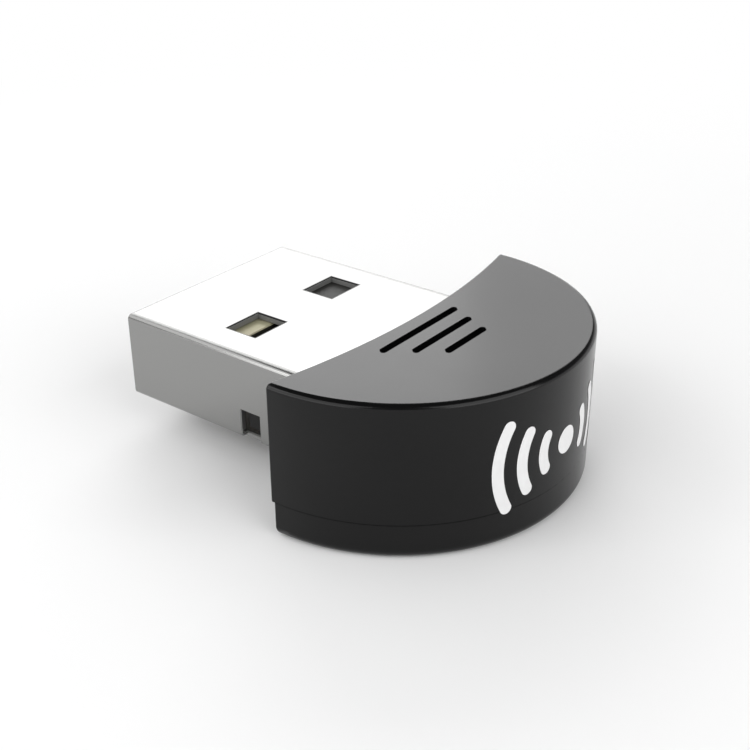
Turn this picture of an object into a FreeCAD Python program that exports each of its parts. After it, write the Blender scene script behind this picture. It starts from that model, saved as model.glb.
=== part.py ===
import FreeCAD, Part
import math
import os

from FreeCAD import Vector

# A small USB radio adapter: a folded steel plug in a crescent-shaped moulded housing.
# X runs across it, Y from the housing towards the mouth of the plug, and Z up.
# It is drawn with Y = 0 on the chord of the housing's back and Z = 0 on its underside.
# At the end every piece moves so that the origin lies under the middle of the whole adapter.
# All sizes are in millimetres.

# Plug shell, folded from steel sheet to the standard outline
plug_width = 12.0
plug_height = 4.5
plug_reach = 12.5
plug_underside = 1.74
sheet = 0.3
fold_radius = 0.25
mouth_bevel = 0.05
shell_tail = 2.9

# Windows, two in the top and two in the underside, with the rounded rim that a punch leaves
window_inset = 1.84
window_width = 2.2
window_length = 1.8
window_setback = 5.17
window_round = 0.08

# Notch at the foot of each side wall, with its rim bevelled
notch_setback = 7.62
notch_length = 1.2
notch_height = 1.54
notch_bevel = 0.05

# Seam along the underside, locked by dovetail keys
seam_gap = 0.05
key_setbacks = (1.4, 8.6)
key_length = 1.8
key_reach = 1.0
key_flare = 0.25

# Tabs at the shell's rear end, soldered to the board's neck
tab_length = 0.9
tab_lap = 0.35

# Mouth of the plug
cavity_height = 1.95

# Gold-plated contacts on the board's tongue
pad_thickness = 0.05
pad_width = 1.0
power_pad_x = 3.5
data_pad_x = 1.0
power_pad_setback = 1.2
data_pad_setback = 2.2
pad_end_gap = 0.15
pad_corner = 0.2

# Moulded core inside the plug
core_setback = 0.35
core_gap = 0.03
nose_thickness = 0.35
nose_lead = 0.2
bar_length = 1.0
rail_thickness = 0.52
ledge_lap = 0.3
block_length = 1.4
tooth_length = 0.35
tooth_proud = 0.12
tooth_nose = 0.45
tooth_margin = 0.35

# Circuit board
board_thickness = 1.0
board_gap = 0.05
board_edge_gap = 0.2

# Housing, in two moulded halves
shoulder = 3.4
housing_depth = 9.55
back_hollow = 1.1
wall = 1.1
roof_thickness = 1.2
roof_gap = 0.26
floor_thickness = 1.0
parting_height = 1.8
back_step = 0.17
top_round = 0.27
bottom_round = 0.5
back_round = 0.1
inner_bevel = 0.3

# Lip of the lower half inside the upper half
lip_thickness = 0.5
lip_height = 0.9
lip_gap = 0.05
plug_gap = 0.05

# Grooves in the roof, with slanted ends and rounded corners, each shorter than the one before
groove_count = 3
groove_pitch = 1.165
groove_start = 2.11
groove_length = 6.1
groove_shortening = 1.42
groove_centre = -1.0
groove_drift = 0.17
groove_width = 0.42
groove_slant = 0.42
groove_depth = 0.25
groove_corner = 0.15

# Bosses at the housing's corners, where a pin of the lower half is pressed in
boss_radius = 0.85
boss_setback = 2.8
boss_pin_radius = 0.4
boss_pin_length = 1.5
boss_pin_gap = 0.03
boss_seat_gap = 0.05

# Posts that carry the board's tail, with a pin through the board
post_radius = 0.6
post_gap = 0.2
post_wall_gap = 0.25
post_pin_radius = 0.35
post_pin_gap = 0.05

# Ribs above and below the shell, inside the housing
rib_x = 3.0
rib_thickness = 0.8

# Electronic pieces, by their body sizes
radio_side = 4.0
radio_gap = 0.05
radio_pads = 6
crystal_part = (3.2, 2.5)
crystal_gap = 0.06
crystal_base = 0.35
crystal_rim = 0.18
crystal_shift = 1.05
chip_edge_gap = 0.15
small_part = (1.0, 0.5, 0.5)
resistor_part = (1.0, 0.5, 0.35)
large_part = (1.6, 0.8, 0.8)
inductor_part = (2.0, 1.6, 1.0)
antenna_part = (5.0, 1.8, 1.1)
antenna_edge_gap = 0.55
antenna_turns = 5
antenna_line = 0.15
memory_part = (3.0, 2.0, 0.6)
memory_pads = 4
regulator_body = (2.9, 1.6, 1.1)
regulator_span = 2.8
regulator_pitch = 0.95
regulator_standoff = 0.05
lead_width = 0.4
lead_metal = 0.15
termination = 0.25
termination_proud = 0.03
chip_bevel = 0.05
chip_pad_width = 0.28
chip_pad_height = 0.2

# Heights that follow from the sizes above
inner_floor = plug_underside + sheet
inner_ceiling = plug_underside + plug_height - sheet
contact_level = inner_floor + cavity_height
board_underside = contact_level + pad_thickness
board_top = board_underside + board_thickness
plug_top = plug_underside + plug_height
roof_underside = plug_top + roof_gap
housing_height = roof_underside + roof_thickness
lip_top = parting_height + lip_height
boss_split = lip_top + lip_gap + boss_seat_gap

# Places along the plug
notch_front = plug_reach - notch_setback
notch_rear = notch_front - notch_length
cavity_end = notch_rear + tooth_length
window_front = plug_reach - window_setback
window_rear = window_front - window_length
window_middle = (window_front + window_rear) / 2
shell_rear = -shell_tail
tab_rear = shell_rear - tab_length
core_front = plug_reach - core_setback
nose_rear = core_front - nose_thickness
bar_rear = nose_rear - bar_length
board_front = nose_rear - board_gap

# Places across the adapter
inner_half = plug_width / 2 - sheet
core_half = inner_half - core_gap
tongue_half = core_half - rail_thickness - board_gap
housing_width = plug_width + 2 * shoulder

# Circles of the housing's plan, both centred on the Y axis
front_radius = ((housing_width / 2) ** 2 + housing_depth ** 2) / (2 * housing_depth)
front_centre = front_radius - housing_depth
back_radius = ((housing_width / 2) ** 2 + back_hollow ** 2) / (2 * back_hollow)
back_centre = back_radius - back_hollow

# Bosses half way between the plug and the wall, and posts close to the wall behind the plug
boss_y = -boss_setback
boss_wall_x = math.sqrt((front_radius - wall) ** 2 - (boss_y - front_centre) ** 2)
boss_x = (plug_width / 2 + boss_wall_x) / 2
post_y = tab_rear - post_gap - post_radius
post_ring = front_radius - wall - post_wall_gap - post_radius
post_x = math.sqrt(post_ring ** 2 - (post_y - front_centre) ** 2)

# How far a cutting tool runs past what it cuts, and how close two lengths count as equal
overrun = 1.0
TOLERANCE = 1e-4


def block(x_range, y_range, z_range):
    """A box between two corners, given as one range for each axis."""
    corner = Vector(min(x_range), min(y_range), min(z_range))
    sizes = [max(pair) - min(pair) for pair in (x_range, y_range, z_range)]
    return Part.makeBox(*sizes, corner)


def cylinder(x, y, radius, z_from, z_to):
    """A round post on the Z axis."""
    return Part.makeCylinder(radius, z_to - z_from, Vector(x, y, z_from))


def both_sides(shape):
    """The shape and its mirror image across the middle plane."""
    return [shape, shape.mirror(Vector(0, 0, 0), Vector(1, 0, 0))]


def cut_all(shape, tools):
    """The shape with every tool cut from it."""
    for tool in tools:
        shape = shape.cut(tool)
    return shape


def fuse_all(shape, others):
    """The shape joined with the others into one clean solid."""
    return shape.multiFuse(list(others)).removeSplitter()


def middle_of(edge):
    """The point half way along an edge."""
    return edge.valueAt((edge.FirstParameter + edge.LastParameter) / 2)


def lies_at(edge, height):
    """Whether an edge lies in the level plane at this height."""
    points = [vertex.Point for vertex in edge.Vertexes] + [middle_of(edge)]
    return all(abs(point.z - height) < TOLERANCE for point in points)


def runs_along(edge, direction):
    """Whether an edge is straight and runs along a direction."""
    if not isinstance(edge.Curve, Part.Line):
        return False
    return abs(abs(edge.Curve.Direction.dot(direction)) - 1) < TOLERANCE


def ribbon(points, width):
    """A flat strip of a given width along a line of points, with mitred corners."""
    left, right = [], []
    for index, point in enumerate(points):
        before = points[max(index - 1, 0)]
        after = points[min(index + 1, len(points) - 1)]
        into = (point - before) if index > 0 else (after - point)
        out = (after - point) if index < len(points) - 1 else (point - before)
        into.normalize()
        out.normalize()
        normal = Vector(-into.y - out.y, into.x + out.x, 0)
        normal.normalize()
        reach = width / 2 / normal.dot(Vector(-into.y, into.x, 0))
        left.append(point + normal * reach)
        right.append(point - normal * reach)
    outline = left + right[::-1] + left[:1]
    return Part.Face(Part.makePolygon(outline))


# Plug

def plug_bar(grow, y_from, y_to):
    """The plug's outline as a solid bar, grown all round by an allowance."""
    half = plug_width / 2 + grow
    bar = block((-half, half), (y_from, y_to), (plug_underside - grow, plug_top + grow))
    folds = [edge for edge in bar.Edges if runs_along(edge, Vector(0, 1, 0))]
    return bar.makeFillet(fold_radius + grow, folds)


def rims_window(edge):
    """Whether an edge of the shell is the rim of a window, on the outside of the sheet."""
    middle = middle_of(edge)
    across = abs(middle.x) - window_inset - window_width / 2
    along = middle.y - window_middle
    outside = lies_at(edge, plug_top) or lies_at(edge, plug_underside)
    within = abs(across) < window_width / 2 + TOLERANCE and abs(along) < window_length / 2 + TOLERANCE
    return outside and within


def rims_notch(edge):
    """Whether an edge of the shell is the rim of a notch, on the outside of the side wall."""
    middle = middle_of(edge)
    outside = abs(abs(middle.x) - plug_width / 2) < TOLERANCE
    return outside and notch_rear - TOLERANCE < middle.y < notch_front + TOLERANCE


def seam_line():
    """The line of the seam under the shell, from the mouth back, with a dovetail at each key."""
    points = [Vector(0, plug_reach + overrun, 0)]
    for setback in key_setbacks:
        front = plug_reach - setback
        rear = front - key_length
        points.append(Vector(0, front, 0))
        points.append(Vector(key_reach, front + key_flare, 0))
        points.append(Vector(key_reach, rear - key_flare, 0))
        points.append(Vector(0, rear, 0))
    points.append(Vector(0, shell_rear - overrun, 0))
    return points


def make_plug_shell():
    """Sheet folded round to a rectangle, with windows, notches, a keyed seam and two solder tabs."""
    outer = plug_bar(0, shell_rear, plug_reach)
    mouth = [edge for edge in outer.Edges if abs(middle_of(edge).y - plug_reach) < TOLERANCE]
    outer = outer.makeChamfer(mouth_bevel, mouth)
    inside = block((-inner_half, inner_half), (shell_rear - overrun, plug_reach + overrun),
                   (inner_floor, inner_ceiling))
    shell = outer.cut(inside)
    window = block((window_inset, window_inset + window_width), (window_rear, window_front),
                   (plug_underside - overrun, plug_top + overrun))
    notch = block((inner_half, plug_width / 2 + overrun), (notch_rear, notch_front),
                  (plug_underside - overrun, plug_underside + notch_height))
    seam = ribbon(seam_line(), seam_gap).extrude(Vector(0, 0, 3 * sheet))
    seam.translate(Vector(0, 0, plug_underside - sheet))
    shell = cut_all(shell, both_sides(window) + both_sides(notch) + [seam])
    shell = shell.makeFillet(window_round, [edge for edge in shell.Edges if rims_window(edge)])
    shell = shell.makeChamfer(notch_bevel, [edge for edge in shell.Edges if rims_notch(edge)])
    tab = block((inner_half, plug_width / 2), (tab_rear, shell_rear),
                (board_underside - tab_lap, board_top + tab_lap))
    return fuse_all(shell, both_sides(tab))


def make_plug_core():
    """Carrier that slides into the shell: nose, cross bar, two rails and the block that ends the cavity."""
    top = inner_ceiling - core_gap
    bottom = inner_floor + core_gap
    rear = shell_rear + core_gap
    nose = block((-core_half, core_half), (nose_rear, core_front), (contact_level, top))
    lead = [edge for edge in nose.Edges
            if lies_at(edge, contact_level) and abs(middle_of(edge).y - core_front) < TOLERANCE]
    nose = nose.makeChamfer(nose_lead, lead)
    bar = block((-core_half, core_half), (bar_rear, nose_rear), (board_top, top))
    rail = block((tongue_half + board_gap, core_half), (rear, nose_rear), (contact_level, top))
    ledge = block((tongue_half - ledge_lap, core_half), (rear, nose_rear), (board_top, top))
    stop = block((-core_half, core_half), (cavity_end - block_length, cavity_end), (bottom, board_underside))
    tooth_heights = (bottom + tooth_margin, plug_underside + notch_height - core_gap)
    tooth = block((core_half, inner_half + tooth_proud), (notch_rear + core_gap, cavity_end), tooth_heights)
    tip = block((inner_half, inner_half + tooth_proud), (notch_rear + core_gap, cavity_end + tooth_nose),
                tooth_heights)
    paired = [half for piece in (rail, ledge, tooth, tip) for half in both_sides(piece)]
    return fuse_all(nose, [bar, stop] + paired)


# Housing

def crescent(front_inset, back_inset):
    """The plan of the housing as a face, drawn in from its front arc and from its back arc."""
    front = front_radius - front_inset
    back = back_radius + back_inset
    squares = front ** 2 - back ** 2 - front_centre ** 2 + back_centre ** 2
    corner_y = squares / (2 * (back_centre - front_centre))
    corner_x = math.sqrt(front ** 2 - (corner_y - front_centre) ** 2)
    left = Vector(-corner_x, corner_y, 0)
    right = Vector(corner_x, corner_y, 0)
    front_arc = Part.Arc(left, Vector(0, front_centre - front, 0), right)
    back_arc = Part.Arc(right, Vector(0, back_centre - back, 0), left)
    return Part.Face(Part.Wire([front_arc.toShape(), back_arc.toShape()]))


def crescent_slab(front_inset, back_inset, z_from, z_to):
    """The crescent as a solid between two heights."""
    face = crescent(front_inset, back_inset)
    face.translate(Vector(0, 0, z_from))
    return face.extrude(Vector(0, 0, z_to - z_from))


def back_face(solid):
    """The curved face of the housing's back, which the plug comes out of."""
    return max(solid.Faces, key=lambda face: face.CenterOfMass.y)


def rounded_half(back_inset, z_from, z_to, outer_height, edge_round):
    """The outside of one half: its edge rounded at the outer height, then its back face's edges."""
    half = crescent_slab(0, back_inset, z_from, z_to)
    rim = [edge for edge in half.Edges
           if lies_at(edge, outer_height) and middle_of(edge).y < -housing_depth / 2]
    half = half.makeFillet(edge_round, rim)
    back = [edge for edge in back_face(half).Edges if not lies_at(edge, parting_height)]
    return half.makeFillet(back_round, back)


def groove(index):
    """One groove of the roof, as the tool that cuts it: a slanted bar with rounded corners."""
    side = groove_width / 2
    end = (groove_length - index * groove_shortening) / 2
    lean = groove_slant / 2
    middle = Vector(groove_centre + index * groove_drift, -groove_start - index * groove_pitch,
                    housing_height - groove_depth)
    corners = [(-end - lean, -side), (end - lean, -side), (end + lean, side), (-end + lean, side)]
    points = [middle + Vector(x, y, 0) for x, y in corners]
    outline = Part.makePolygon(points + points[:1]).makeOffset2D(-groove_corner).makeOffset2D(groove_corner)
    return Part.Face(outline).extrude(Vector(0, 0, groove_depth + overrun))


def rib(x, z_from, z_to):
    """A short rib that runs along the shell, just inside the back wall."""
    return block((x - rib_thickness / 2, x + rib_thickness / 2), (shell_rear, -back_hollow - wall / 2),
                 (z_from, z_to))


def within_wall(shape):
    """What of a boss lies inside the middle of the housing's wall."""
    return shape.common(crescent_slab(wall / 2, wall / 2, 0, housing_height))


def make_top_cover():
    """Upper half: round rim, roof with grooves, cut-out for the plug, bosses, posts and ribs."""
    cover = rounded_half(0, parting_height, housing_height, housing_height, top_round)
    hollow = crescent_slab(wall, wall, parting_height - overrun, roof_underside)
    ceiling = [edge for edge in hollow.Edges if lies_at(edge, roof_underside)]
    hollow = hollow.makeChamfer(inner_bevel, ceiling)
    lip_inset = wall - lip_thickness - lip_gap
    rebate = crescent_slab(lip_inset, lip_inset, parting_height - overrun, lip_top + lip_gap)
    cover = cut_all(cover, [hollow, rebate] + [groove(index) for index in range(groove_count)])

    boss = within_wall(cylinder(boss_x, boss_y, boss_radius, boss_split, housing_height - roof_thickness / 2))
    post = cylinder(post_x, post_y, post_radius, board_top, housing_height - roof_thickness / 2)
    holder = rib(rib_x, plug_top + plug_gap, housing_height - roof_thickness / 2)
    cover = fuse_all(cover, both_sides(boss) + both_sides(post) + both_sides(holder))
    pin_top = boss_split + boss_pin_length
    pin_hole = cylinder(boss_x, boss_y, boss_pin_radius + boss_pin_gap, boss_split - overrun, pin_top)
    opening = plug_bar(plug_gap, shell_rear - plug_gap, overrun)
    return cut_all(cover, both_sides(pin_hole) + [opening])


def make_base_cover():
    """Lower half: tray with a raised lip, saddle ribs, pinned bosses and pinned board posts."""
    base = rounded_half(back_step, 0, parting_height, 0, bottom_round)
    lip_inset = wall - lip_thickness
    lip = crescent_slab(lip_inset, lip_inset, parting_height / 2, lip_top)
    pocket = crescent_slab(wall, wall, floor_thickness, lip_top + overrun)
    base = fuse_all(base, [lip]).cut(pocket)

    footing = floor_thickness / 2
    boss_top = boss_split - boss_seat_gap
    boss = within_wall(cylinder(boss_x, boss_y, boss_radius, footing, boss_top))
    boss_pin = cylinder(boss_x, boss_y, boss_pin_radius, footing, boss_top + boss_pin_length)
    post = cylinder(post_x, post_y, post_radius, footing, board_underside)
    post_pin = cylinder(post_x, post_y, post_pin_radius, footing, board_top - post_pin_gap)
    saddle = rib(rib_x, footing, plug_underside)
    stands = [boss, boss_pin, post, post_pin, saddle]
    base = fuse_all(base, [half for stand in stands for half in both_sides(stand)])
    return base.cut(plug_bar(plug_gap, shell_rear - plug_gap, overrun))


# Circuit board and contacts

def make_circuit_board():
    """Tongue in the plug, neck between the solder tabs, and a tail that fills the crescent."""
    tongue = block((-tongue_half, tongue_half), (shell_rear - board_gap, board_front),
                   (board_underside, board_top))
    neck_half = inner_half - board_gap
    neck = block((-neck_half, neck_half), (tab_rear - board_edge_gap, shell_rear - board_gap),
                 (board_underside, board_top))
    inset = wall + board_edge_gap
    tail = crescent_slab(inset, inset, board_underside, board_top)
    tail = tail.common(block((-housing_width, housing_width), (-2 * housing_depth, tab_rear - board_gap),
                             (board_underside, board_top)))
    boss_notch = cylinder(boss_x, boss_y, boss_radius + board_gap,
                          board_underside - overrun, board_top + overrun)
    pin_hole = cylinder(post_x, post_y, post_pin_radius + post_pin_gap,
                        board_underside - overrun, board_top + overrun)
    board = fuse_all(tongue, [neck, tail])
    return cut_all(board, both_sides(boss_notch) + both_sides(pin_hole))


def make_contact(x, setback):
    """One plated contact under the board's tongue, with clipped corners."""
    contact = block((x - pad_width / 2, x + pad_width / 2),
                    (cavity_end + pad_end_gap, plug_reach - setback), (contact_level, board_underside))
    uprights = [edge for edge in contact.Edges if runs_along(edge, Vector(0, 0, 1))]
    return contact.makeChamfer(pad_corner, uprights)


# Electronic pieces, each drawn standing on Z = 0 round its own middle

def body(length, width, height, bevel):
    """A moulded or ceramic body with its upper edges bevelled."""
    shape = block((-length / 2, length / 2), (-width / 2, width / 2), (0, height))
    top_edges = [edge for edge in shape.Edges if lies_at(edge, height)]
    return shape.makeChamfer(bevel, top_edges)


def end_capped(sizes):
    """A chip part: a ceramic body with a slightly larger metal cap on each end."""
    length, width, height = sizes
    core = block((-length / 2 + termination, length / 2 - termination),
                 (-width / 2 + termination_proud, width / 2 - termination_proud),
                 (termination_proud, height - termination_proud))
    cap = block((length / 2 - termination, length / 2), (-width / 2, width / 2), (0, height))
    long_edges = [edge for edge in cap.Edges if abs(middle_of(edge).x - length / 2) < TOLERANCE]
    cap = cap.makeChamfer(termination_proud, long_edges)
    return fuse_all(core, both_sides(cap))


def pad_row(count, pitch, edge):
    """Metal pads along one side of a leadless chip, showing a little at its edge."""
    row = []
    for index in range(count):
        along = (index - (count - 1) / 2) * pitch
        row.append(block((along - chip_pad_width / 2, along + chip_pad_width / 2),
                         (edge - termination, edge + termination_proud), (0, chip_pad_height)))
    return row


def make_radio_chip():
    """Square leadless chip with a row of pads along each side and a round mark over pad one."""
    height = inner_ceiling - board_top - radio_gap
    chip = body(radio_side, radio_side, height, chip_bevel)
    pitch = radio_side / (radio_pads + 1)
    mark_x = -radio_side / 2 + pitch
    mark = cylinder(mark_x, -mark_x, pitch / 2, height - chip_bevel, height + overrun)
    rows = []
    for quarter in range(4):
        for pad in pad_row(radio_pads, pitch, radio_side / 2):
            pad.rotate(Vector(0, 0, 0), Vector(0, 0, 1), 90 * quarter)
            rows.append(pad)
    return fuse_all(chip.cut(mark), rows)


def make_crystal():
    """Crystal: a ceramic base that carries a smaller welded metal lid."""
    length, width = crystal_part
    base = block((-length / 2, length / 2), (-width / 2, width / 2), (0, crystal_base))
    corners = [edge for edge in base.Edges if runs_along(edge, Vector(0, 0, 1))]
    base = base.makeChamfer(crystal_rim, corners)
    lid = body(length - 2 * crystal_rim, width - 2 * crystal_rim,
               inner_ceiling - board_top - crystal_gap - crystal_base, chip_bevel)
    lid.translate(Vector(0, 0, crystal_base))
    return fuse_all(base, [lid])


def gull_lead(x, body_half, reach, shoulder_height):
    """One bent lead: out of the body, down, and out along the board."""
    knee = (body_half + reach) / 2
    root = body_half - lead_metal
    points = [(root, shoulder_height), (knee, shoulder_height), (knee + lead_metal, lead_metal),
              (reach, lead_metal), (reach, 0), (knee, 0), (knee - lead_metal, shoulder_height - lead_metal),
              (root, shoulder_height - lead_metal)]
    outline = [Vector(x - lead_width / 2, y, z) for y, z in points]
    face = Part.Face(Part.makePolygon(outline + outline[:1]))
    return face.extrude(Vector(lead_width, 0, 0))


def make_voltage_regulator():
    """Small five-lead regulator: three leads on one side and two on the other."""
    length, width, height = regulator_body
    chip = body(length, width, height - regulator_standoff, 2 * chip_bevel)
    chip.translate(Vector(0, 0, regulator_standoff))
    leads = []
    for step in (-1, 0, 1):
        lead = gull_lead(step * regulator_pitch, width / 2, regulator_span / 2, height / 2)
        leads.append(lead)
        if step != 0:
            leads.append(lead.mirror(Vector(0, 0, 0), Vector(0, 1, 0)))
    return fuse_all(chip, leads)


def make_memory_chip():
    """Leadless memory chip with a row of pads along each long side."""
    length, width, height = memory_part
    chip = body(length, width, height, chip_bevel)
    row = pad_row(memory_pads, length / (memory_pads + 1), width / 2)
    return fuse_all(chip, row + [pad.mirror(Vector(0, 0, 0), Vector(0, 1, 0)) for pad in row])


def make_chip_antenna():
    """Ceramic antenna: a capped block with a folded conductor raised on its top."""
    length, width, height = antenna_part
    start = -length / 2 + 2 * termination
    pitch = -2 * start / antenna_turns
    points = []
    for turn in range(antenna_turns):
        side = width / 4 if turn % 2 == 0 else -width / 4
        points.append(Vector(start + turn * pitch, -side, 0))
        points.append(Vector(start + turn * pitch, side, 0))
    points.append(Vector(-start, points[-1].y, 0))
    trace = ribbon(points, antenna_line).extrude(Vector(0, 0, termination_proud))
    trace.translate(Vector(0, 0, height - termination_proud))
    return fuse_all(end_capped(antenna_part), [trace])


# Placing pieces on the board

def on_board(shape, x, y, turn=0):
    """The piece set on the board's upper face, turned about its own middle by some degrees."""
    placed = shape.copy()
    placed.rotate(Vector(0, 0, 0), Vector(0, 0, 1), turn)
    placed.translate(Vector(x, y, board_top))
    return placed


def under_board(shape, x, y, turn=0):
    """The piece set under the board, upside down."""
    placed = shape.copy()
    placed.rotate(Vector(0, 0, 0), Vector(0, 0, 1), turn)
    placed.rotate(Vector(0, 0, 0), Vector(0, 1, 0), 180)
    placed.translate(Vector(x, y, board_underside))
    return placed


def electronics():
    """Every electronic piece by name, where it sits on the board."""
    ledge_x = tongue_half - ledge_lap
    radio_x = ledge_x - chip_edge_gap - radio_side / 2
    crystal_x = -(ledge_x - chip_edge_gap - crystal_part[0] / 2)
    small_length, small_width = small_part[:2]
    small_step = small_length + board_edge_gap
    before_radio = window_middle + radio_side / 2 + board_edge_gap + small_width / 2
    behind_radio = window_middle - radio_side / 2 - board_edge_gap - small_width / 2
    neck_row = shell_rear / 2
    neck_x = ledge_x - board_edge_gap - large_part[1] / 2
    tail_row = post_y - board_edge_gap
    board_tip = front_centre - front_radius + wall + board_edge_gap
    antenna_y = board_tip + antenna_edge_gap + antenna_part[1] / 2
    before_antenna = antenna_y + antenna_part[1] / 2 + board_edge_gap + small_width / 2
    regulator_x = large_part[0] / 2 + board_edge_gap + regulator_body[0] / 2
    resistor_y = bar_rear - board_edge_gap - resistor_part[1] / 2

    pieces = {
        "radio_chip": on_board(make_radio_chip(), radio_x, window_middle),
        "crystal": on_board(make_crystal(), crystal_x, window_middle + crystal_shift),
        "chip_antenna": on_board(make_chip_antenna(), 0, antenna_y),
        "antenna_inductor": on_board(end_capped(small_part), -small_length, before_antenna),
        "antenna_capacitor": on_board(end_capped(small_part), small_length, before_antenna),
        "ferrite_bead": on_board(end_capped(large_part), -neck_x, neck_row, 90),
        "input_capacitor": under_board(end_capped(large_part), 0, neck_row, 90),
        "output_capacitor": on_board(end_capped(large_part), neck_x, neck_row, 90),
        "power_inductor": under_board(end_capped(inductor_part), 0, antenna_y),
        "voltage_regulator": under_board(make_voltage_regulator(), -regulator_x, tail_row),
        "memory_chip": under_board(make_memory_chip(), regulator_x, tail_row),
    }
    for index in range(3):
        x = radio_x + (index - 1) * small_step
        pieces["decoupling_capacitor_" + str(index + 1)] = on_board(end_capped(small_part), x, before_radio)
    pieces["decoupling_capacitor_4"] = on_board(end_capped(small_part), radio_x, behind_radio)
    for index, side in enumerate((-1, 1)):
        x = crystal_x + side * small_length
        pieces["crystal_capacitor_" + str(index + 1)] = on_board(end_capped(small_part), x, behind_radio)
    for name, x in (("data_resistor_minus", -data_pad_x), ("data_resistor_plus", data_pad_x)):
        pieces[name] = on_board(end_capped(resistor_part), x, resistor_y)
    return pieces


def all_pieces():
    """Every piece of the adapter by name."""
    pieces = {
        "top_cover": make_top_cover(),
        "base_cover": make_base_cover(),
        "plug_shell": make_plug_shell(),
        "plug_core": make_plug_core(),
        "circuit_board": make_circuit_board(),
        "contact_vbus": make_contact(-power_pad_x, power_pad_setback),
        "contact_data_minus": make_contact(-data_pad_x, data_pad_setback),
        "contact_data_plus": make_contact(data_pad_x, data_pad_setback),
        "contact_ground": make_contact(power_pad_x, power_pad_setback),
    }
    pieces.update(electronics())
    return pieces


os.makedirs("parts", exist_ok=True)
middle_y = (plug_reach - housing_depth) / 2
for name, piece in all_pieces().items():
    piece.translate(Vector(0, -middle_y, 0))
    piece.exportStep("parts/" + name + ".step")
    bounds = piece.BoundBox
    print(name, "solids", len(piece.Solids), "volume", round(piece.Volume, 3),
          "size", round(bounds.XLength, 2), round(bounds.YLength, 2), round(bounds.ZLength, 2))
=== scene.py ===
# %% [markdown]
# # A small wireless adapter on a white table
#
# The adapter is a black crescent of moulded plastic with a polished metal plug. Its pieces were
# drawn beforehand at their real size. This lesson loads them, sets up a camera and soft lights,
# and gives every piece the finish that the real one has.
#
# Read the cells in order. Each explanation says what a piece or a finish is on the real thing,
# how it could be made, and why it is made as it is here.

# %% The drawn pieces
import math

import bmesh
import bpy
from mathutils import Matrix, Vector


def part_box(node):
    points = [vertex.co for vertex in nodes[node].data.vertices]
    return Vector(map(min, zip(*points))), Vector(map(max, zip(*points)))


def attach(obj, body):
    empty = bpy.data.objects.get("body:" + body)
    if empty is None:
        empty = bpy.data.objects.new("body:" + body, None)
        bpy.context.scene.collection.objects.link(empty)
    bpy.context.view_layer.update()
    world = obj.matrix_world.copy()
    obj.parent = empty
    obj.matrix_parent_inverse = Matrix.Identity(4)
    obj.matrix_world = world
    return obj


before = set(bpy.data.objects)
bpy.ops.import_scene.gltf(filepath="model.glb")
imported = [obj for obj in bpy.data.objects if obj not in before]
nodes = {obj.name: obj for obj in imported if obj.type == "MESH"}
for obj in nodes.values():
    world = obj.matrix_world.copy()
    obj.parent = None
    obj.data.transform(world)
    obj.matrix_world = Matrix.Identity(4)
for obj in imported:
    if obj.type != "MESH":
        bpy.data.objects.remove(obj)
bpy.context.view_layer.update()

MM = 0.001
print("pieces:", len(nodes))

# %% [markdown]
# ## Sizes that several finishes share
#
# A finish often changes at a certain place: the metal is duller where it was cut, and a small
# part has tin at its ends. Most of those places come from the boxes of the drawn pieces. The few
# that no box tells, such as the plug's windows, are given where they are first needed. All of
# them are in millimetres.

# %% Places in millimetres
def box_mm(name):
    """The lowest and the highest corner of a drawn piece, in millimetres."""
    low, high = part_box(name)
    return low / MM, high / MM


shell_low, shell_high = box_mm("plug_shell")
cover_low, cover_high = box_mm("top_cover")
sheet = 0.3
rim_radius = (cover_high.x - cover_low.x) / 2
rim_centre_y = cover_low.y + rim_radius
print("rim radius:", round(rim_radius, 3), "mm about y", round(rim_centre_y, 3), "mm")

# %% [markdown]
# ## The camera
#
# A camera is a place and a direction. Both were measured on the picture that this scene follows:
# the view comes from the front left and looks down by 27 degrees. The camera stands only 6 cm
# away, which gives the plug its strong perspective, as in product photographs. It could be aimed
# with a constraint, but a rotation that is worked out from three angles says plainly what it
# does. The near clipping distance comes down from its usual 10 cm, or nothing would be seen.

# %% Camera
def direction(azimuth, elevation):
    """The way from the object to what stands at this azimuth and elevation, in degrees."""
    around, up = math.radians(azimuth), math.radians(elevation)
    return Vector((math.sin(around) * math.cos(up), -math.cos(around) * math.cos(up), math.sin(up)))


camera_azimuth = -52.551
camera_elevation = 27.482
camera_roll = 0.218
camera_place = Vector((-41.967, -32.328, 31.312)) * MM

backward = direction(camera_azimuth, camera_elevation)
turned = math.radians(camera_azimuth)
rightward = Vector((math.cos(turned), math.sin(turned), 0))
upward = backward.cross(rightward)
level = Matrix((rightward, upward, backward)).transposed().to_4x4()

camera_data = bpy.data.cameras.new("camera")
camera_data.sensor_width = 36
camera_data.lens = 57.18
camera_data.clip_start = 1 * MM
camera_data.clip_end = 10
camera = bpy.data.objects.new("camera", camera_data)
camera.matrix_world = (Matrix.Translation(camera_place) @ level
                       @ Matrix.Rotation(math.radians(-camera_roll), 4, "Z"))
bpy.context.scene.collection.objects.link(camera)
bpy.context.scene.camera = camera
bpy.context.scene.view_settings.view_transform = "Standard"
print("camera distance:", round(camera_place.length / MM, 1), "mm")

# %% [markdown]
# ## Shader maths that reads like maths
#
# Every finish below is a graph of nodes. Written out link by link, such a graph is hard to read.
# So one small class, `Wire`, stands for what comes out of a node, and its plus, minus and times
# add the Math nodes. A mask can then be written as `1 - mask`. All other nodes come from one
# method, `Graph.node`, which takes the kind of node, its settings and what goes into its sockets.

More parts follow.
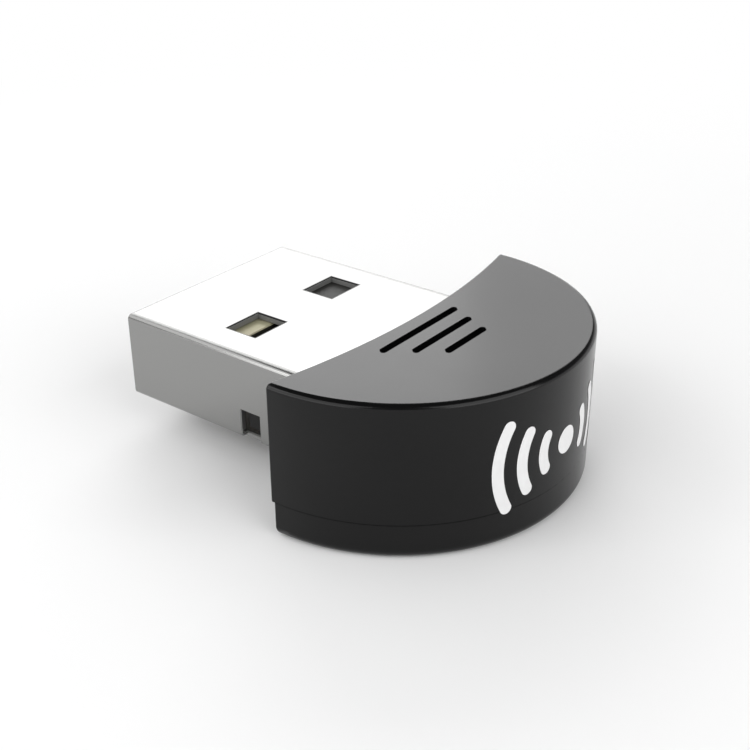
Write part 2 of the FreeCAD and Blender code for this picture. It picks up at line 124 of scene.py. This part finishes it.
# %% Wire and Graph
class Wire:
    """What comes out of a node. Sums on it add the Math nodes that work them out."""

    def __init__(self, graph, socket):
        self.graph = graph
        self.socket = socket

    def __getitem__(self, key):
        """Another output of the same node, by name or number."""
        return Wire(self.graph, self.socket.node.outputs[key])

    def maths(self, operation, *values):
        """A Math node that does this operation on these values."""
        return self.graph.node("Math", {"operation": operation}, dict(enumerate(values)))

    def __add__(self, other):
        return self.maths("ADD", self, other)

    def __sub__(self, other):
        return self.maths("SUBTRACT", self, other)

    def __rsub__(self, other):
        return self.maths("SUBTRACT", other, self)

    def __mul__(self, other):
        return self.maths("MULTIPLY", self, other)

    def __abs__(self):
        return self.maths("ABSOLUTE", self)

    __radd__ = __add__
    __rmul__ = __mul__


class Graph:
    """The node tree of a material or of the world, built up node by node."""

    def __init__(self, owner):
        owner.use_nodes = True
        self.tree = owner.node_tree
        self.tree.nodes.clear()

    def node(self, kind, settings, sockets):
        """Adds a node: its settings first, then a value or a wire for each socket."""
        made = self.tree.nodes.new("ShaderNode" + kind)
        for name, value in settings.items():
            setattr(made, name, value)
        for key, value in sockets.items():
            socket = made.inputs[key]
            if isinstance(value, Wire):
                self.tree.links.new(value.socket, socket)
            elif socket.type == "RGBA":
                socket.default_value = (*value, 1)
            else:
                socket.default_value = value
        return Wire(self, made.outputs[0]) if made.outputs else None


# %% [markdown]
# ## The words that the finishes are written in
#
# A few helpers cover most of what a finish needs. `place` gives a point on the piece in
# millimetres, `step` turns a number into a soft mask, `either` joins two masks, `speckle` is
# noise of a given fineness and `mix` blends two colours by a mask. Working in millimetres keeps
# each grain at its real size.

# %% Helpers for finishes
def place(graph):
    """The point being shaded, in millimetres in the adapter's own frame."""
    metres = graph.node("TexCoord", {}, {})["Object"]
    return graph.node("VectorMath", {"operation": "SCALE"}, {0: metres, "Scale": 1 / MM})


def parts_of(vector):
    """The x, y and z of a vector."""
    split = vector.graph.node("SeparateXYZ", {}, {0: vector})
    return split["X"], split["Y"], split["Z"]


def facing(graph):
    """The x, y and z of the way that the surface faces on the piece itself."""
    return parts_of(graph.node("TexCoord", {}, {})["Normal"])


def stretched(vector, x, y, z):
    """A place with each axis multiplied, so that a pattern on it is drawn out."""
    return vector.graph.node("VectorMath", {"operation": "MULTIPLY"}, {0: vector, 1: (x, y, z)})


def step(value, start, end):
    """0 up to start and 1 from end, with a soft change between. It also runs downwards."""
    return value.graph.node("MapRange", {"interpolation_type": "SMOOTHSTEP"},
                            {"Value": value, "From Min": start, "From Max": end})


def either(one, other):
    """The larger of two values. Two masks joined so are 1 where either of them is."""
    return one.maths("MAXIMUM", one, other)


def speckle(vector, per_mm, detail=2):
    """Noise from 0 to 1 with about this many grains to a millimetre."""
    return vector.graph.node("TexNoise", {}, {"Vector": vector, "Scale": per_mm, "Detail": detail})


def mix(mask, off, on):
    """The colour `off` where the mask is 0 and `on` where it is 1."""
    return mask.graph.node("Mix", {"data_type": "RGBA"}, {0: mask, 6: off, 7: on})[2]


def relief(height, depth_mm):
    """The way the surface faces once a height from 0 to 1 stands this far out of it."""
    return height.graph.node("Bump", {}, {"Height": height, "Distance": depth_mm * MM})


def finish(name, sockets):
    """A material with one Principled shader. The function `sockets` says what goes into it."""
    material = bpy.data.materials.new(name)
    graph = Graph(material)
    shader = graph.node("BsdfPrincipled", {}, sockets(graph))
    graph.node("OutputMaterial", {}, {"Surface": shader})
    print("finish:", name)
    return material


# %% [markdown]
# ## The table and the white around it
#
# The picture has no horizon: the table runs into white. A curved backdrop could give that, but a
# flat floor that turns into plain white with distance does it from every side. Close by it is a
# matt surface that keeps the soft shadow, and `white_from` and `white_at` say how many
# millimetres away the change begins and ends.
#
# Only rays that show a picture see that white: those from the camera, and those that metal or
# gloss sends on. Light Path tells them apart. For all other rays the table stays matt, so the
# white far away adds no light to the object.

# %% Floor
floor_half_side = 600 * MM
white_from = 30
white_at = 85
table_colour = (0.86, 0.86, 0.86)
plain_white = (1, 1, 1)


def make_floor():
    """A flat square for the adapter to stand on."""
    mesh = bpy.data.meshes.new("floor")
    shape = bmesh.new()
    bmesh.ops.create_grid(shape, x_segments=1, y_segments=1, size=floor_half_side)
    shape.to_mesh(mesh)
    shape.free()
    floor = bpy.data.objects.new("floor", mesh)
    bpy.context.scene.collection.objects.link(floor)
    return floor


def ray_masks(graph):
    """1 for a ray from the camera, and 1 for one sent on by gloss or glass."""
    ray = graph.node("LightPath", {}, {})
    return ray["Is Camera Ray"], either(ray["Is Glossy Ray"], ray["Is Transmission Ray"])


def white_table():
    """Matt white close by and plain white far away."""
    material = bpy.data.materials.new("white_table")
    graph = Graph(material)
    far = graph.node("VectorMath", {"operation": "LENGTH"}, {0: place(graph)})["Value"]
    direct, mirrored = ray_masks(graph)
    matt = graph.node("BsdfDiffuse", {}, {"Color": table_colour})
    white = graph.node("Emission", {}, {"Color": plain_white})
    share = step(far, white_from, white_at) * either(direct, mirrored)
    both = graph.node("MixShader", {}, {0: share, 1: matt, 2: white})
    graph.node("OutputMaterial", {}, {"Surface": both})
    return material


make_floor().data.materials.append(white_table())
print("table:", round(2 * floor_half_side / MM), "mm square")

# %% [markdown]
# ## The room
#
# The world is the same white to the camera. What gloss and metal mirror of it is white low down
# and dark overhead, as in a studio with a paper roll, because bright metal needs something dark
# to mirror as well. The change between the two lies at the elevations `white_up_to` and
# `dim_from`, in degrees. For all other rays the room is a dim, even grey, which fills the shadows.

# %% World
dim_room = 0.43
dark_overhead = 0.15
white_up_to = 7
dim_from = 18


def fill_world():
    """White for the camera, white low down and dark above for gloss, and dim for the rest."""
    world = bpy.data.worlds.new("studio")
    bpy.context.scene.world = world
    graph = Graph(world)
    height = parts_of(graph.node("TexCoord", {}, {})["Generated"])[2]
    low_down = step(height, math.sin(math.radians(dim_from)), math.sin(math.radians(white_up_to)))
    direct, mirrored = ray_masks(graph)
    in_gloss = dark_overhead + (1 - dark_overhead) * low_down
    strength = direct + mirrored * in_gloss + dim_room * (1 - either(direct, mirrored))
    background = graph.node("Background", {}, {"Color": plain_white, "Strength": strength})
    graph.node("OutputWorld", {}, {"Surface": background})


fill_world()
print("room: white up to", white_up_to, "and dark from", dim_from, "degrees")

# %% [markdown]
# ## Soft boxes, placed by what they are mirrored in
#
# A black glossy thing shows its lamps more than its own colour. The grey of the flat top is the
# reflection of a bright wall behind the object, seen at a shallow angle. That wall is three
# boxes that overlap, because it has to be brighter higher up and to the left, and so the grey
# fades away from the camera. The light line along the upper edge comes from two tall boxes to the
# left and right of the camera, and the black line before it is the dark gap overhead. A last
# box, weaker than those two, greys the fold of the plug. So each box is given by the turn from
# the camera, the elevation and the half angles that it fills, as seen from the object, and by its
# brightness. Its power is that brightness times its area times pi.

# %% Soft boxes
box_distance = 250 * MM


def soft_box(name, turn, elevation, half_wide, half_high, brightness):
    """An area light that faces the object, with a brightness that reads as a pixel value."""
    light = bpy.data.lights.new(name, "AREA")
    light.shape = "RECTANGLE"
    light.size = 2 * box_distance * math.tan(math.radians(half_wide))
    light.size_y = 2 * box_distance * math.tan(math.radians(half_high))
    light.energy = brightness * math.pi * light.size * light.size_y
    lamp = bpy.data.objects.new(name, light)
    toward = direction(camera_azimuth + turn, elevation)
    facing_in = toward.to_track_quat("Z", "Y").to_matrix().to_4x4()
    lamp.matrix_world = Matrix.Translation(toward * box_distance) @ facing_in
    lamp.visible_camera = False
    bpy.context.scene.collection.objects.link(lamp)
    print(name, "power:", round(light.energy, 3), "W")


soft_box("wall", 180, 24.5, 20, 16.5, 1.72)
soft_box("wall_top", 180, 34, 20, 7, 1.4)
soft_box("wall_left", 189.5, 24.5, 14, 16.5, 1.0)
soft_box("left_box", -51, 26, 27, 26, 2.0)
soft_box("right_box", 51, 26, 27, 26, 2.25)
soft_box("fold_box", -112, 38, 32, 14, 1.4)

# %% [markdown]
# ## The housing: satin black plastic
#
# The two halves of the housing are moulded in black plastic. The mould's steel was finely
# eroded, so the surface has a grain of about a tenth of a millimetre and a satin gloss. A flat
# black would look like paper. What makes it read as plastic is the broad reflection, so the
# roughness matters most, and it drifts a little from place to place as on a real moulding. The
# index of refraction is below a plastic's usual 1.5, which keeps the mirrored wall as dim as on
# the picture.
#
# The two halves meet in a fine line round the rim. It swallows light, which a dip in the relief
# would not show from every side. So the line is blended halfway to a black metal, which mirrors
# nothing. It is full up to `seam_full` above and below the parting height and gone at `seam_end`.

# %% Black plastic
parting_height = 1.8
seam_end = 0.036
seam_full = 0.016
seam_dark = 0.5
plastic_deep = (0.0012, 0.0012, 0.0013)
plastic_pale = (0.002, 0.002, 0.0021)
black = (0, 0, 0)


def black_plastic(graph):
    spot = place(graph)
    drift = speckle(spot, 0.35)
    grain = speckle(spot, 11, 3)
    seam = seam_dark * step(abs(parts_of(spot)[2] - parting_height), seam_end, seam_full)
    plastic = mix(drift, plastic_deep, plastic_pale)
    return {
        "Base Color": mix(seam, plastic, black),
        "Metallic": seam,
        "Roughness": 0.15 + 0.05 * drift + 0.04 * grain,
        "Normal": relief(grain, 0.0008),
        "IOR": 1.34,
    }


housing_black = finish("satin_black_plastic", black_plastic)

# %% [markdown]
# ## The plug's shell: polished nickel
#
# The shell is steel sheet with a bright nickel plate, folded round to a box. Rolling leaves very
# fine lines along the plug, too fine to count, which blur reflections slightly across it. The
# punch that made the windows drew their rims in, and the dark line round them is painted shade,
# where the rolled rims would lie in shadow. The walls below are torn metal, dull and grey. The
# inside was never polished, so it is duller, and its darker colour is also painted shade of the
# closed cavity. Along the folds and the mouth the bending tool rubbed a narrow dull border. So
# there are several masks. They ask where the point is and which way the surface faces there,
# which is 1 straight along an axis and 0 across it. The painted shade round a window needs how
# far a point lies outside a rectangle, which is the larger of two differences. It is full up to
# `rim_shade_full` outside the window and gone at `rim_shade_end`. Torn metal changes to polished
# over a width of `cut_edge`.

# %% Nickel
plug_half = shell_high.x
plug_middle_z = (shell_low.z + shell_high.z) / 2
plug_half_z = (shell_high.z - shell_low.z) / 2
mouth_y = shell_high.y
window_half_x = 1.1
window_half_y = 0.9
window_inner_side = 1.84
window_setback = 5.17
window_middle_x = window_inner_side + window_half_x
window_middle_y = mouth_y - window_setback - window_half_y
rim_shade_full = 0.09
rim_shade_end = 0.14
fold_radius = 0.25
border = 0.2
cut_edge = 0.05
bright_nickel = (0.295, 0.295, 0.29)
# The inside: duller unpolished nickel, darkened further as painted shade of the closed cavity.
inner_nickel_and_shade = (0.11, 0.11, 0.105)
# Painted shade: the dark line round each window stands for the shadow on its rolled rim.
painted_rim_shade = (0.012, 0.012, 0.012)
torn_steel = (0.21, 0.21, 0.205)


def nickel(graph):
    spot = place(graph)
    x, y, z = parts_of(spot)
    _, face_y, face_z = facing(graph)
    lines = speckle(stretched(spot, 30, 0.6, 30), 1, 3)
    haze = speckle(spot, 0.5)
    within = step(abs(x), plug_half - sheet, plug_half - sheet - 0.02)
    outside = either(abs(abs(x) - window_middle_x) - window_half_x,
                     abs(y - window_middle_y) - window_half_y)
    # The mask of the painted shade round the windows.
    rim = step(outside, rim_shade_end, rim_shade_full)
    window_wall = step(abs(face_z), 0.4, 0.15) * within
    mouth_edge = step(face_y, 0.5, 0.8) * step(y, mouth_y - 2 * cut_edge, mouth_y - cut_edge)
    notch_wall = (step(abs(face_y), 0.6, 0.9)
                  * step(z, shell_low.z + sheet + cut_edge, shell_low.z + sheet + 2 * cut_edge))
    torn = either(either(window_wall, mouth_edge), notch_wall)
    # The mask of the inside faces, which get the duller colour with painted shade.
    bore = (step(abs(x), plug_half - 0.5 * sheet, plug_half - 0.8 * sheet)
            * step(abs(z - plug_middle_z), plug_half_z - 0.5 * sheet, plug_half_z - 0.8 * sheet))
    # Polished nickel outside, and inside the duller nickel with painted shade.
    polished = mix(bore, bright_nickel, inner_nickel_and_shade)
    # The painted shade round the windows is laid over the nickel here.
    with_rim_shade = mix(rim, polished, painted_rim_shade)
    by_fold = step(abs(x), plug_half - fold_radius - border, plug_half - fold_radius - border / 2)
    by_mouth = step(y, mouth_y - border, mouth_y - border / 2)
    rubbed = either(by_fold, by_mouth) * step(abs(face_z), 0.9, 0.97)
    return {
        "Base Color": mix(torn, with_rim_shade, torn_steel),
        "Metallic": 1 - 0.5 * torn,
        "Roughness": 0.1 + 0.05 * lines + 0.04 * haze + 0.4 * either(torn, bore) + 0.25 * rubbed,
        "Normal": relief(lines, 0.0006),
    }


plug_nickel = finish("polished_nickel", nickel)

# %% [markdown]
# ## The plug's core: black plastic with glass fibres
#
# The carrier inside the shell is a hard plastic filled with glass fibres. It is nearly as black as
# the housing and a little duller, and the fibres show as faint streaks across the plug. Through
# the notches and the mouth only its edges catch the light.

# %% Core plastic
def core_plastic(graph):
    spot = place(graph)
    fibres = speckle(stretched(spot, 2, 14, 2), 1, 2)
    return {
        "Base Color": mix(fibres, (0.002, 0.002, 0.002), (0.004, 0.004, 0.004)),
        "Roughness": 0.25 + 0.15 * fibres,
        "Normal": relief(fibres, 0.001),
        "IOR": 1.3,
    }


core_black = finish("core_plastic", core_plastic)

# %% [markdown]
# ## The circuit board
#
# A board is a sheet of glass cloth and resin with copper on both faces, under green lacquer. The
# lacquer is slightly raised and lighter over each copper track. At the board's edge there is no
# lacquer, and the layers of glass show as pale lines. The tracks are bands in x that run along
# the tongue, and beyond the plug they widen into a ground area with small plated holes. The
# radius of a hole is given as a share of the distance between two.

# %% Board
track_pitch = 0.62
track_share = 0.34
hole_pitch = 1.3
hole_full = 0.11
hole_end = 0.14
neck_y = cover_high.y
pour_starts = 0.5
pour_full = 0.7
lacquer_over_resin = (0.004, 0.045, 0.016)
lacquer_over_copper = (0.010, 0.090, 0.032)
resin = (0.30, 0.25, 0.13)
glass_cloth = (0.46, 0.42, 0.26)
plated_hole = (0.42, 0.40, 0.37)


def board_lacquer(graph):
    spot = place(graph)
    x, y, _ = parts_of(spot)
    face_z = facing(graph)[2]
    level = step(abs(face_z), 0.6, 0.9)
    across = x.maths("FRACT", x * (1 / track_pitch))
    track = step(abs(across - 0.5), track_share / 2 + 0.04, track_share / 2)
    pour = step(y, neck_y - pour_starts, neck_y - pour_full)
    copper = either(track, pour)
    cell = graph.node("TexVoronoi", {"voronoi_dimensions": "2D"},
                      {"Vector": spot, "Scale": 1 / hole_pitch, "Randomness": 0.35})
    hole = step(cell["Distance"], hole_end, hole_full) * pour
    cloth = speckle(stretched(spot, 1, 1, 12), 1.5, 2)
    lacquer = mix(copper, lacquer_over_resin, lacquer_over_copper)
    laminate = mix(cloth, resin, glass_cloth)
    face = mix(hole, lacquer, plated_hole)
    return {
        "Base Color": mix(level, laminate, face),
        "Metallic": hole * level,
        "Roughness": 0.55 - 0.3 * level + 0.05 * cloth,
        "Normal": relief(copper * level + 0.4 * cloth * (1 - level), 0.012),
    }


board_green = finish("board_lacquer", board_lacquer)

# %% [markdown]
# ## The contacts: gold on copper
#
# The four contacts are copper with a thin layer of gold. Each time the plug goes in, the socket's
# springs drag along them, which leaves faint lines along the plug where the gold is a little
# rougher and paler.

# %% Gold
def gold(graph):
    spot = place(graph)
    rubbed = speckle(stretched(spot, 9, 0.35, 9), 1, 3)
    return {
        "Base Color": mix(rubbed, (0.83, 0.53, 0.19), (0.90, 0.66, 0.33)),
        "Metallic": 1.0,
        "Roughness": 0.16 + 0.16 * rubbed,
        "Normal": relief(rubbed, 0.0012),
    }


contact_gold = finish("contact_gold", gold)

# %% [markdown]
# ## Chips in black epoxy
#
# A chip's body is moulded in epoxy full of fine silica, so it is dark grey and matt with small
# specks. Its pads or leads are tinned copper. One material does both: the mask is how far a point
# lies outside the moulded body, whose sides are given. It starts at `proud` and is full at twice
# that. The round mark over pad one of the radio chip is a dip in the drawn piece, so it needs no
# mask.

# %% Epoxy and tin
tin = (0.52, 0.51, 0.49)
epoxy_deep = (0.020, 0.020, 0.019)
epoxy_pale = (0.045, 0.044, 0.041)
proud = 0.006


def chip(name, body_x, body_y):
    """The finish of a chip whose moulded body has these sides and whose metal stands proud."""
    low, high = box_mm(name)
    middle = (low + high) / 2

    def epoxy(graph):
        spot = place(graph)
        x, y, _ = parts_of(spot)
        past_x = step(abs(x - middle.x), body_x / 2 + proud, body_x / 2 + 2 * proud)
        past_y = step(abs(y - middle.y), body_y / 2 + proud, body_y / 2 + 2 * proud)
        metal = either(past_x, past_y)
        silica = speckle(spot, 16, 3)
        return {
            "Base Color": mix(metal, mix(silica, epoxy_deep, epoxy_pale), tin),
            "Metallic": metal,
            "Roughness": 0.52 + 0.12 * silica - 0.3 * metal,
            "Normal": relief(silica, 0.002),
        }

    return finish(name + "_epoxy", epoxy)


# %% [markdown]
# ## The crystal
#
# The timing crystal sits in a small ceramic box with a welded lid. The lid is nickel-iron with a
# warm, brushed sheen, and it is what shows through the near window of the plug. Its tint drifts
# from rose to straw, as x plus y grows from `tint_starts` to `tint_full`. Its sides are nearly
# black, which is painted shade round the lid where little light reaches. The base under it is
# brown ceramic.

# %% Crystal
crystal_foot = box_mm("crystal")[0].z
ceramic_height = 0.35
tint_starts = -1.2
tint_full = 3.6
lid_rose = (0.41, 0.34, 0.29)
lid_straw = (0.40, 0.38, 0.25)
# Painted shade: the colour of the lid's sides, which stand in shadow under the plug's sheet.
painted_side_shade = (0.03, 0.027, 0.022)


def crystal_can(graph):
    spot = place(graph)
    x, y, z = parts_of(spot)
    lid = step(z, crystal_foot + ceramic_height - 0.01, crystal_foot + ceramic_height)
    level = step(facing(graph)[2], 0.5, 0.6)
    brushed = speckle(stretched(spot, 3, 24, 3), 1, 3)
    across = step(x + y + 0.8 * speckle(spot, 0.8), tint_starts, tint_full)
    # The lid's top takes its tint, and its sides take the painted shade.
    warm = mix(level, painted_side_shade, mix(across, lid_rose, lid_straw))
    ceramic = mix(speckle(spot, 9), (0.035, 0.022, 0.016), (0.06, 0.04, 0.03))
    return {
        "Base Color": mix(lid, ceramic, warm),
        "Metallic": 0.25 * lid,
        "Roughness": 0.6 - 0.15 * lid + 0.1 * brushed,
        "Normal": relief(brushed, 0.002),
    }


crystal_lid = finish("crystal_can", crystal_can)

# %% [markdown]
# ## Small parts with tinned ends
#
# Capacitors, resistors, the bead and the coils are all the same idea: a block with a metal cap at
# each end for soldering. They differ in the colour of the block. Each material finds the caps
# by how far a point lies from the middle along the part's longer side, and a resistor also has a
# dark film on its top between the caps.

# %% Capped parts
cap_length = 0.25


def capped(name, colour_low, colour_high, film=None):
    """The finish of one capped part, from the two tones of its block and a film if it has one."""
    low, high = box_mm(name)
    middle = (low + high) / 2
    along = 0 if high.x - low.x > high.y - low.y else 1
    reach = (high[along] - low[along]) / 2 - cap_length

    def block_and_caps(graph):
        spot = place(graph)
        offset = abs(parts_of(spot)[along] - middle[along])
        cap = step(offset, reach - 0.01, reach + 0.005)
        mottle = speckle(spot, 6, 3)
        block = mix(mottle, colour_low, colour_high)
        if film:
            top = step(facing(graph)[2], 0.6, 0.9)
            block = mix(top * step(offset, reach - 0.03, reach - 0.05), block, film)
        solder = speckle(spot, 4, 2)
        return {
            "Base Color": mix(cap, block, tin),
            "Metallic": cap,
            "Roughness": 0.5 - 0.25 * cap + 0.15 * solder,
            "Normal": relief(mottle + solder * cap, 0.006),
        }

    return finish(name + "_block", block_and_caps)


# %% [markdown]
# ## The antenna
#
# The antenna is a bar of pale ceramic. Its conductor is silver paste printed on top as a folded
# line, which the drawn piece has as a raised ridge. So the mask for it is simply the height. The
# ends for soldering are silver too, and are found as on the parts above.

# %% Antenna
antenna_low, antenna_high = box_mm("chip_antenna")
ridge = 0.03
silver_paste = (0.60, 0.59, 0.57)


def antenna_bar(graph):
    spot = place(graph)
    x, _, z = parts_of(spot)
    half = (antenna_high.x - antenna_low.x) / 2
    cap = step(abs(x), half - cap_length - 0.01, half - cap_length + 0.005)
    raised = step(z, antenna_high.z - 0.7 * ridge, antenna_high.z - 0.4 * ridge)
    silver = either(cap, raised)
    grain = speckle(spot, 10, 3)
    ceramic = mix(grain, (0.55, 0.62, 0.66), (0.68, 0.73, 0.75))
    return {
        "Base Color": mix(silver, ceramic, silver_paste),
        "Metallic": silver,
        "Roughness": 0.45 - 0.12 * silver + 0.1 * grain,
        "Normal": relief(grain, 0.003),
    }


antenna_ceramic = finish("antenna_bar", antenna_bar)

# %% [markdown]
# ## Dressing the pieces
#
# The finishes go onto the drawn pieces here, in one table. A chip is given with the two sides of
# its moulded body, and a capped part with the two tones of its block. A piece that the table
# forgot would stop the last loop, so none is left with the plain colour it came with.

# %% Assigning the finishes
dress = {
    "top_cover": housing_black,
    "base_cover": housing_black,
    "plug_shell": plug_nickel,
    "plug_core": core_black,
    "circuit_board": board_green,
    "crystal": crystal_lid,
    "chip_antenna": antenna_ceramic,
    "radio_chip": chip("radio_chip", 4.0, 4.0),
    "memory_chip": chip("memory_chip", 3.06, 2.0),
    "voltage_regulator": chip("voltage_regulator", 2.96, 1.6),
    "ferrite_bead": capped("ferrite_bead", (0.03, 0.03, 0.032), (0.06, 0.06, 0.065)),
    "power_inductor": capped("power_inductor", (0.05, 0.047, 0.045), (0.09, 0.085, 0.08)),
    "antenna_inductor": capped("antenna_inductor", (0.30, 0.42, 0.52), (0.40, 0.50, 0.58)),
}
for name in nodes:
    if name.startswith("contact_"):
        dress[name] = contact_gold
    elif "capacitor" in name:
        dress[name] = capped(name, (0.26, 0.17, 0.10), (0.36, 0.25, 0.16))
    elif "resistor" in name:
        dress[name] = capped(name, (0.62, 0.60, 0.57), (0.74, 0.72, 0.69), film=(0.012, 0.012, 0.013))

for name, piece in nodes.items():
    for slot in piece.material_slots:
        slot.material = dress[name]
print("dressed:", len(dress), "of", len(nodes))

# %% [markdown]
# ## The mark on the rim
#
# The rim carries a bold white mark, pad-printed in opaque ink. Here it is a plain sign for radio:
# a dot with three waves to each side. It could be a mask in the plastic's material, but ink
# that is a thin film of its own stays crisp however close one looks. So the mark is laid out
# flat, as on unrolled paper, and each point of it is then wrapped round the rim.

# %% Wrapping round the rim
ink_thickness = 0.012


def on_rim(along, height, out):
    """A point on the rim: a length along it from the middle, a height, and how far it stands out."""
    angle = along / rim_radius
    reach = rim_radius + out
    return Vector((reach * math.sin(angle), rim_centre_y - reach * math.cos(angle), height)) * MM


def strip(shape, rows):
    """Adds quads between rows of points that all have the same number of points."""
    made = [[shape.verts.new(on_rim(along, height, ink_thickness)) for along, height in row]
            for row in rows]
    for row, next_row in zip(made, made[1:]):
        for index in range(len(row) - 1):
            shape.faces.new((row[index], row[index + 1], next_row[index + 1], next_row[index]))


# %% [markdown]
# ## Waves and dot as rows of points
#
# Each wave is an arc, made of rows of points across its stroke. Past each end of the arc the rows
# get shorter as a half circle does, which gives the round ends that a pen would leave. The very
# first and last rows keep a tiny width, so that no face shrinks to nothing. The dot is a stack of
# such rows.

# %% Waves and dot
mark_height = 3.95
wave_radii = (1.75, 3.05, 4.35)
wave_span = math.radians(28)
stroke = 0.6
dot_radius = 0.68
wave_steps = 32
cap_steps = 10
stroke_steps = 6
least_half_wave = 1e-4
least_half_dot = 1e-3


def wave_rows(radius, side):
    """Rows of points across one wave, from its lower round end to its upper one."""
    rows = []

    def add_row(swing, past, half_width):
        centre_x, centre_z = radius * math.cos(swing), radius * math.sin(swing)
        row = []
        for number in range(stroke_steps + 1):
            out = half_width * (2 * number / stroke_steps - 1)
            along = centre_x + out * math.cos(swing) - past * math.sin(swing)
            height = mark_height + centre_z + out * math.sin(swing) + past * math.cos(swing)
            row.append((side * along, height))
        rows.append(row if side > 0 else row[::-1])

    def add_cap_row(swing, turn):
        half_width = max(stroke / 2 * math.cos(turn), least_half_wave)
        add_row(swing, stroke / 2 * math.sin(turn), half_width)

    for number in range(cap_steps):
        add_cap_row(-wave_span, -math.pi / 2 * (1 - number / cap_steps))
    for number in range(wave_steps + 1):
        add_row(wave_span * (2 * number / wave_steps - 1), 0, stroke / 2)
    for number in range(1, cap_steps + 1):
        add_cap_row(wave_span, math.pi / 2 * number / cap_steps)
    return rows


def dot_rows():
    """Rows of points across the dot, from bottom to top."""
    rows = []
    for number in range(wave_steps + 1):
        height = dot_radius * math.sin(math.pi * (number / wave_steps - 0.5))
        half_width = math.sqrt(max(dot_radius ** 2 - height ** 2, least_half_dot ** 2))
        rows.append([(half_width * (2 * across / stroke_steps - 1), mark_height + height)
                     for across in range(stroke_steps + 1)])
    return rows


print("points in the dot:", sum(len(row) for row in dot_rows()))

# %% [markdown]
# ## The film of ink
#
# The ink is opaque and satin, and a little cloudy where the pad left it thinner. It is no drawn
# piece, so it is an object of its own that rides on the adapter.

# %% Ink on the rim
def print_ink(graph):
    spot = place(graph)
    cloud = speckle(spot, 3, 3)
    return {
        "Base Color": mix(cloud, (0.66, 0.66, 0.66), (0.74, 0.74, 0.74)),
        "Roughness": 0.42 + 0.1 * cloud,
        "Normal": relief(cloud, 0.003),
    }


def make_rim_print():
    """The dot and all the waves as one thin film."""
    shape = bmesh.new()
    strip(shape, dot_rows())
    for side in (-1, 1):
        for radius in wave_radii:
            strip(shape, wave_rows(radius, side))
    bmesh.ops.recalc_face_normals(shape, faces=shape.faces)
    mesh = bpy.data.meshes.new("rim_print")
    shape.to_mesh(mesh)
    shape.free()
    for face in mesh.polygons:
        face.use_smooth = True
    ink = bpy.data.objects.new("rim_print", mesh)
    mesh.materials.append(finish("white_ink", print_ink))
    bpy.context.scene.collection.objects.link(ink)
    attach(ink, "root")
    return ink


rim_print = make_rim_print()
print("ink faces:", len(rim_print.data.polygons))
